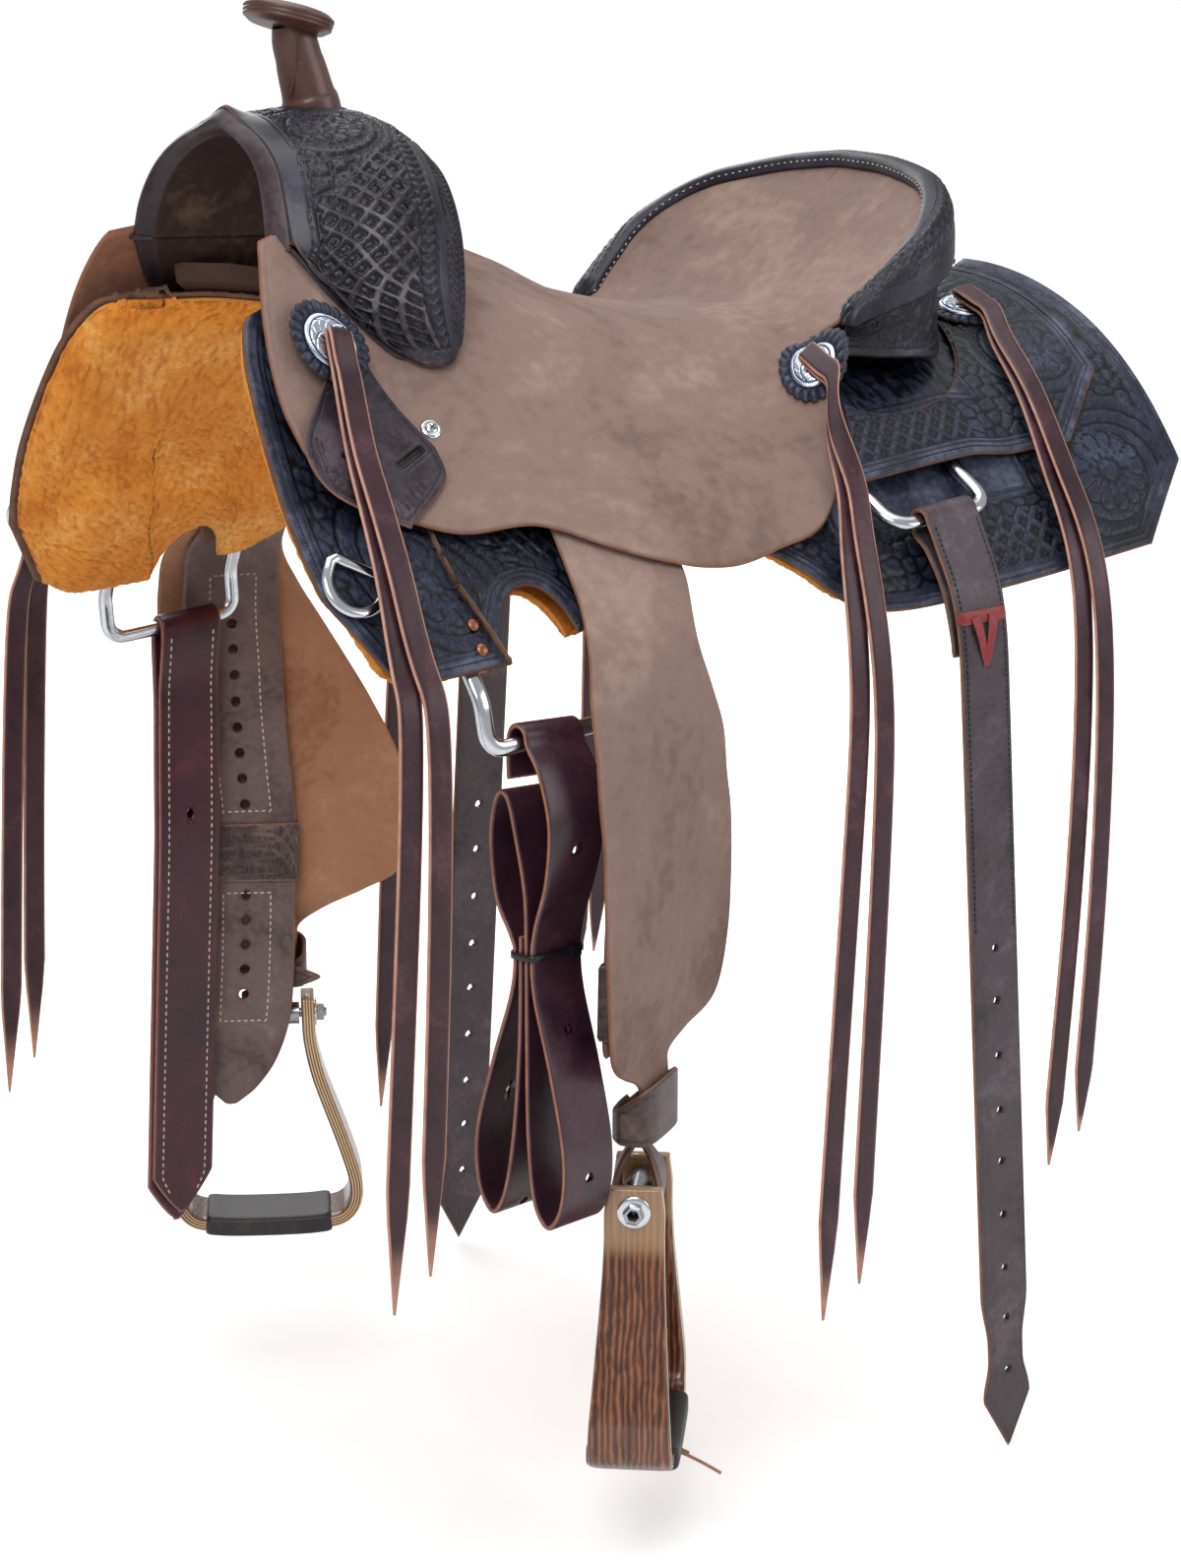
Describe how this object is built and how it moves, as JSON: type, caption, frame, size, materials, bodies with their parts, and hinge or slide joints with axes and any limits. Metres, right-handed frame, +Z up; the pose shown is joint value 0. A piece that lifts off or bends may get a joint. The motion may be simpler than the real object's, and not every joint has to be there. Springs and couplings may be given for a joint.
{
  "type": "western horse saddle",
  "caption": "Western stock saddle with horn, dished cantle, fenders, bent-wood stirrups, fleece-lined skirts, rigging dees, latigo, billets and strings.",
  "frame": {"origin": "on the saddle's middle plane, under the seat, where the horse's back carries it", "axes": "+X toward the horse's tail, +Y to the off (right) side, +Z up"},
  "size_m": [0.723, 0.6618, 1.023],
  "materials": {
    "black_plastic": "black nylon tie",
    "brown_leather": "smooth brown harness leather",
    "burgundy_latigo": "oiled burgundy latigo leather",
    "engraved_silver": "engraved silver plate",
    "flesh_side_leather": "tan flesh side",
    "horn_leather": "polished red-brown leather",
    "roughout_leather": "rough flesh-side-out leather, brown with paler worn patches",
    "sheepskin": "orange-gold sheepskin pile",
    "stainless_steel": "polished stainless steel",
    "tooled_leather": "dark carved leather with an oiled sheen",
    "tree_rawhide": "rawhide over wood",
    "varnished_wood": "varnished bent hardwood"
  },
  "bodies": {
    "saddle": {"cantle_back": "tooled_leather", "cantle_binding": "tooled_leather", "cantle_board": "tree_rawhide", "concho_front_near": "engraved_silver", "concho_front_off": "engraved_silver", "concho_rear_near": "engraved_silver", "concho_rear_off": "engraved_silver", "concho_seat_near": "engraved_silver", "concho_seat_off": "engraved_silver", "fleece_near": "sheepskin", "fleece_off": "sheepskin", "fork": "tree_rawhide", "front_dee_near": "stainless_steel", "front_dee_off": "stainless_steel", "ground_seat": "tree_rawhide", "horn_cap": "horn_leather", "horn_core": "stainless_steel", "horn_neck": "horn_leather", "latigo_keeper": "tooled_leather", "rear_dee_near": "stainless_steel", "rear_dee_off": "stainless_steel", "rear_jockey_near": "tooled_leather", "rear_jockey_off": "tooled_leather", "seat_leather": "roughout_leather", "skirt_near": "tooled_leather", "skirt_off": "tooled_leather", "swell_cover": "tooled_leather", "tree_bar_near": "tree_rawhide", "tree_bar_off": "tree_rawhide"},
    "fender_near": {"fender_near": "roughout_leather", "stirrup_leather_near": "brown_leather", "leather_sleeve_near": "brown_leather", "hobble_strap_near": "brown_leather"},
    "loop_near": {"stirrup_loop_near": "flesh_side_leather"},
    "stirrup_near": {"stirrup_near": "varnished_wood", "stirrup_bolt_near": "stainless_steel", "tread_cover_near": "brown_leather"},
    "rear_billet_near": {"rear_billet_near": "burgundy_latigo"},
    "breast_dee_near": {"breast_dee_near": "stainless_steel"},
    "strings_front_near": {"strings_front_near": "burgundy_latigo"},
    "strings_seat_near": {"strings_seat_near": "burgundy_latigo"},
    "strings_rear_near": {"strings_rear_near": "burgundy_latigo"},
    "fender_off": {"fender_off": "roughout_leather", "stirrup_leather_off": "brown_leather", "leather_sleeve_off": "brown_leather", "hobble_strap_off": "brown_leather"},
    "loop_off": {"stirrup_loop_off": "flesh_side_leather"},
    "stirrup_off": {"stirrup_off": "varnished_wood", "stirrup_bolt_off": "stainless_steel", "tread_cover_off": "brown_leather"},
    "rear_billet_off": {"rear_billet_off": "burgundy_latigo"},
    "breast_dee_off": {"breast_dee_off": "stainless_steel"},
    "strings_front_off": {"strings_front_off": "burgundy_latigo"},
    "strings_seat_off": {"strings_seat_off": "burgundy_latigo"},
    "strings_rear_off": {"strings_rear_off": "burgundy_latigo"},
    "latigo": {"latigo": "burgundy_latigo", "latigo_tie": "black_plastic"},
    "off_billet": {"off_billet": "burgundy_latigo"}
  },
  "joints": [
    {"name": "fender_swing_near", "type": "hinge", "parent": "saddle", "child": "fender_near", "pos_m": [-0.09467, -0.12638, 0.02532], "axis": [-0.0535, -0.7695, 0.6364], "range_deg": [0, 7]},
    {"name": "stirrup_turn_near", "type": "hinge", "parent": "fender_near", "child": "loop_near", "pos_m": [-0.0985, -0.2633, -0.44], "axis": [0, 0, 1], "range_deg": [-12, 20]},
    {"name": "stirrup_tilt_near", "type": "hinge", "parent": "loop_near", "child": "stirrup_near", "pos_m": [-0.0985, -0.2633, -0.5], "axis": [-0.6561, -0.7547, 0], "range_deg": [-25, 35]},
    {"name": "rear_billet_swing_near", "type": "hinge", "parent": "saddle", "child": "rear_billet_near", "pos_m": [0.15913, -0.2603, -0.06794], "axis": [-0.9934, -0.0007, -0.1146], "range_deg": [0, 60]},
    {"name": "breast_dee_swing_near", "type": "hinge", "parent": "saddle", "child": "breast_dee_near", "pos_m": [-0.28018, -0.21791, -0.07137], "axis": [-0.8694, 0.2797, 0.4073], "range_deg": [0, 8]},
    {"name": "strings_swing_front_near", "type": "hinge", "parent": "saddle", "child": "strings_front_near", "pos_m": [-0.25586, -0.15581, 0.06456], "axis": [-1, 0, 0], "range_deg": [0, 30]},
    {"name": "strings_swing_seat_near", "type": "hinge", "parent": "saddle", "child": "strings_seat_near", "pos_m": [0.11665, -0.16722, 0.03638], "axis": [-1, 0, 0], "range_deg": [0, 30]},
    {"name": "strings_swing_rear_near", "type": "hinge", "parent": "saddle", "child": "strings_rear_near", "pos_m": [0.31957, -0.09929, 0.06792], "axis": [-1, 0, 0], "range_deg": [0, 30]},
    {"name": "fender_swing_off", "type": "hinge", "parent": "saddle", "child": "fender_off", "pos_m": [-0.09467, 0.12638, 0.02532], "axis": [0.0535, -0.7695, -0.6364], "range_deg": [0, 7]},
    {"name": "stirrup_turn_off", "type": "hinge", "parent": "fender_off", "child": "loop_off", "pos_m": [-0.0845, 0.2622, -0.462], "axis": [0, 0, -1], "range_deg": [0, 15]},
    {"name": "stirrup_tilt_off", "type": "hinge", "parent": "loop_off", "child": "stirrup_off", "pos_m": [-0.0845, 0.2622, -0.505], "axis": [0.866, -0.5, 0], "range_deg": [0, 25]},
    {"name": "rear_billet_swing_off", "type": "hinge", "parent": "saddle", "child": "rear_billet_off", "pos_m": [0.15913, 0.2603, -0.06794], "axis": [0.9934, -0.0007, 0.1146], "range_deg": [0, 60]},
    {"name": "breast_dee_swing_off", "type": "hinge", "parent": "saddle", "child": "breast_dee_off", "pos_m": [-0.28018, 0.21791, -0.07137], "axis": [0.8694, 0.2797, -0.4073], "range_deg": [0, 8]},
    {"name": "strings_swing_front_off", "type": "hinge", "parent": "saddle", "child": "strings_front_off", "pos_m": [-0.25643, 0.15031, 0.06177], "axis": [1, 0, 0], "range_deg": [0, 30]},
    {"name": "strings_swing_seat_off", "type": "hinge", "parent": "saddle", "child": "strings_seat_off", "pos_m": [0.11665, 0.16722, 0.03638], "axis": [1, 0, 0], "range_deg": [0, 30]},
    {"name": "strings_swing_rear_off", "type": "hinge", "parent": "saddle", "child": "strings_rear_off", "pos_m": [0.31957, 0.09929, 0.06792], "axis": [1, 0, 0], "range_deg": [0, 30]},
    {"name": "latigo_swing", "type": "hinge", "parent": "saddle", "child": "latigo", "pos_m": [-0.15936, -0.25928, -0.18274], "axis": [-0.9944, 0.002, -0.1057], "range_deg": [-12, 2]},
    {"name": "off_billet_swing", "type": "hinge", "parent": "saddle", "child": "off_billet", "pos_m": [-0.15936, 0.25928, -0.18274], "axis": [0.9944, 0.002, 0.1057], "range_deg": [-15, 0]}
  ]
}
